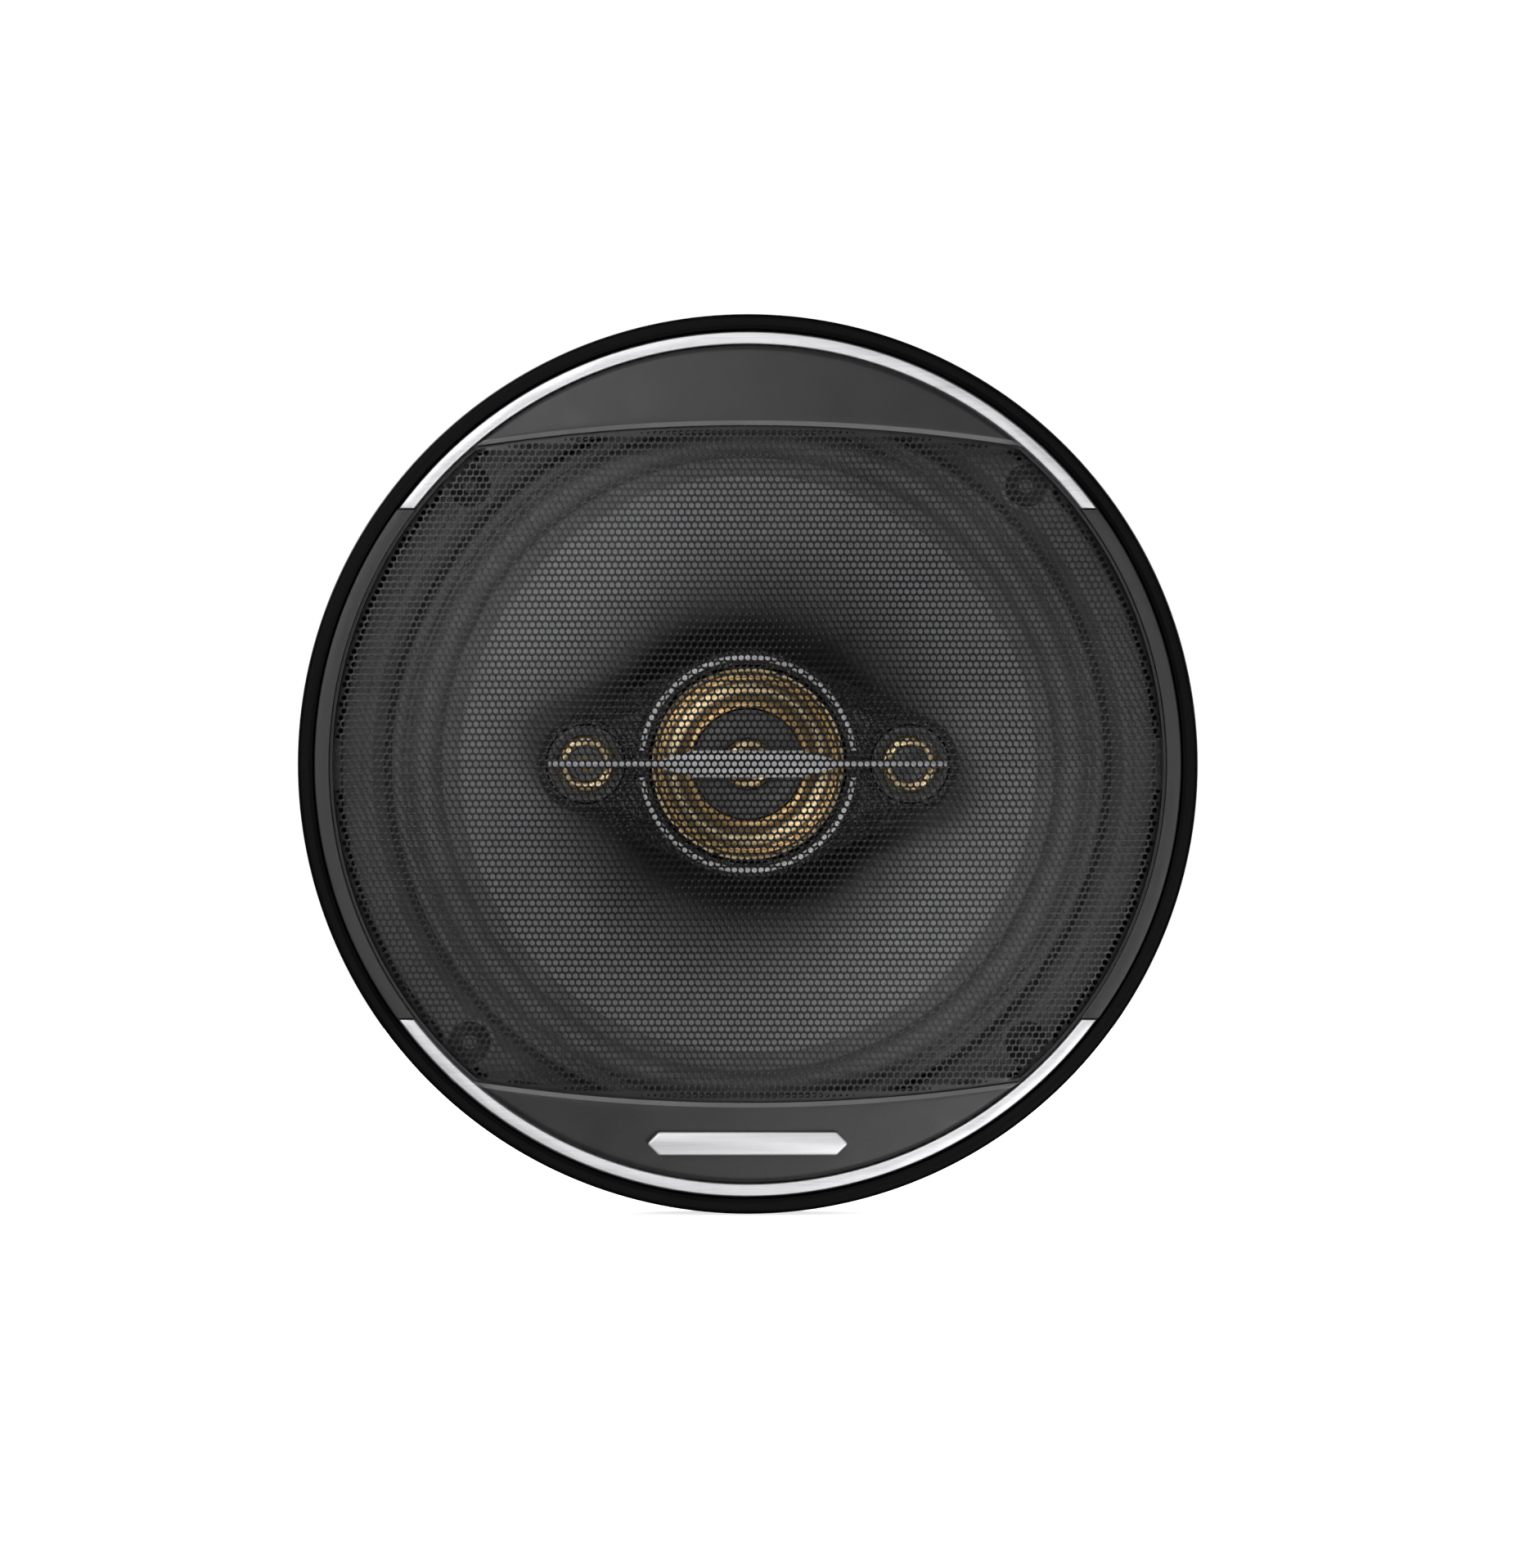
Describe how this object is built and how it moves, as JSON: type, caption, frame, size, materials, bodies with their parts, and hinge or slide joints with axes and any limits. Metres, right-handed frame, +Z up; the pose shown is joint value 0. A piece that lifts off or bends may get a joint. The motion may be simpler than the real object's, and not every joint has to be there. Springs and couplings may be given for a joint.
{
  "type": "coaxial car speaker",
  "caption": "Round coaxial car loudspeaker: cone woofer with a central midrange and tweeter module behind a clip-on perforated grille.",
  "frame": {"origin": "centre of the mounting flange's rear face, on the speaker's axis", "axes": "the speaker faces -Y, +Z is up as it is fitted in a door, +X is to the right as a listener sees it"},
  "size_m": [0.17, 0.0606, 0.17],
  "materials": {
    "black_plastic": "satin black moulding",
    "grey_plastic": "satin dark grey moulding",
    "perforated_metal": "dark grey painted perforated steel",
    "brushed_silver": "brushed silver",
    "black_steel": "satin black paint",
    "zinc_steel": "zinc plated steel",
    "ferrite": "ground ferrite",
    "rubber": "matt black",
    "cone_film": "satin moulded cone",
    "spider_cloth": "resin-treated cloth",
    "gold_film": "metallised gold film",
    "grey_dome": "satin grey",
    "copper": "copper wire",
    "aluminium_foil": "plain foil",
    "board": "brown laminate",
    "tin_plate": "tinned",
    "capacitor_sleeve": "dark blue sleeve",
    "neodymium": "nickel plated"
  },
  "bodies": {
    "frame": {"grille_mount_ring": "black_plastic", "gasket_ring": "black_plastic", "module_housing": "black_plastic", "module_back_cover": "black_plastic", "midrange_frame": "black_plastic", "tweeter_bezel": "black_plastic", "super_tweeter_bezel": "black_plastic", "silver_ring_upper": "brushed_silver", "silver_ring_lower": "brushed_silver", "cross_bar": "brushed_silver", "basket": "black_steel", "t_yoke": "zinc_steel", "top_plate": "zinc_steel", "centre_post": "zinc_steel", "post_screw": "zinc_steel", "module_screw_left": "zinc_steel", "module_screw_right": "zinc_steel", "midrange_pot": "zinc_steel", "midrange_pole_plate": "zinc_steel", "tweeter_pot": "zinc_steel", "super_tweeter_pot": "zinc_steel", "magnet": "ferrite", "surround": "rubber", "spider": "spider_cloth", "tinsel_lead_positive": "copper", "tinsel_lead_negative": "copper", "terminal_board": "board", "terminal_tab_positive": "tin_plate", "terminal_tab_negative": "tin_plate", "midrange_capacitor": "capacitor_sleeve", "tweeter_capacitor": "capacitor_sleeve", "midrange_magnet": "neodymium", "tweeter_magnet": "neodymium", "super_tweeter_magnet": "neodymium"},
    "cone_assembly": {"cone": "cone_film", "voice_coil_former": "aluminium_foil", "voice_coil_winding": "copper"},
    "midrange_diaphragm": {"midrange_surround": "gold_film", "midrange_dome": "grey_dome", "midrange_centre_cap": "gold_film", "midrange_voice_coil": "copper"},
    "tweeter_diaphragm": {"tweeter_roll": "gold_film", "tweeter_dome": "grey_dome", "tweeter_voice_coil": "copper"},
    "super_tweeter_diaphragm": {"super_tweeter_roll": "gold_film", "super_tweeter_dome": "grey_dome", "super_tweeter_voice_coil": "copper"},
    "grille": {"outer_ring": "black_plastic", "bezel": "grey_plastic", "silver_strip_top": "brushed_silver", "silver_strip_bottom": "brushed_silver", "perforated_sheet": "perforated_metal", "blank_badge": "brushed_silver"}
  },
  "joints": [
    {"name": "woofer_excursion", "type": "slide", "parent": "frame", "child": "cone_assembly", "axis": [0, -1, 0], "range_m": [-0.004, 0.004], "stiffness_N_per_m": 2000, "deforming": ["surround", "spider", "tinsel_lead_positive", "tinsel_lead_negative"]},
    {"name": "midrange_excursion", "type": "slide", "parent": "frame", "child": "midrange_diaphragm", "axis": [0, -1, 0], "range_m": [-0.0004, 0.0004], "stiffness_N_per_m": 300},
    {"name": "tweeter_excursion", "type": "slide", "parent": "frame", "child": "tweeter_diaphragm", "axis": [0, -1, 0], "range_m": [-0.0002, 0.0002], "stiffness_N_per_m": 30},
    {"name": "super_tweeter_excursion", "type": "slide", "parent": "frame", "child": "super_tweeter_diaphragm", "axis": [0, -1, 0], "range_m": [-0.0002, 0.0002], "stiffness_N_per_m": 30},
    {"name": "grille_pull_off", "type": "slide", "parent": "frame", "child": "grille", "axis": [0, -1, 0], "range_m": [0, 0.03]}
  ]
}
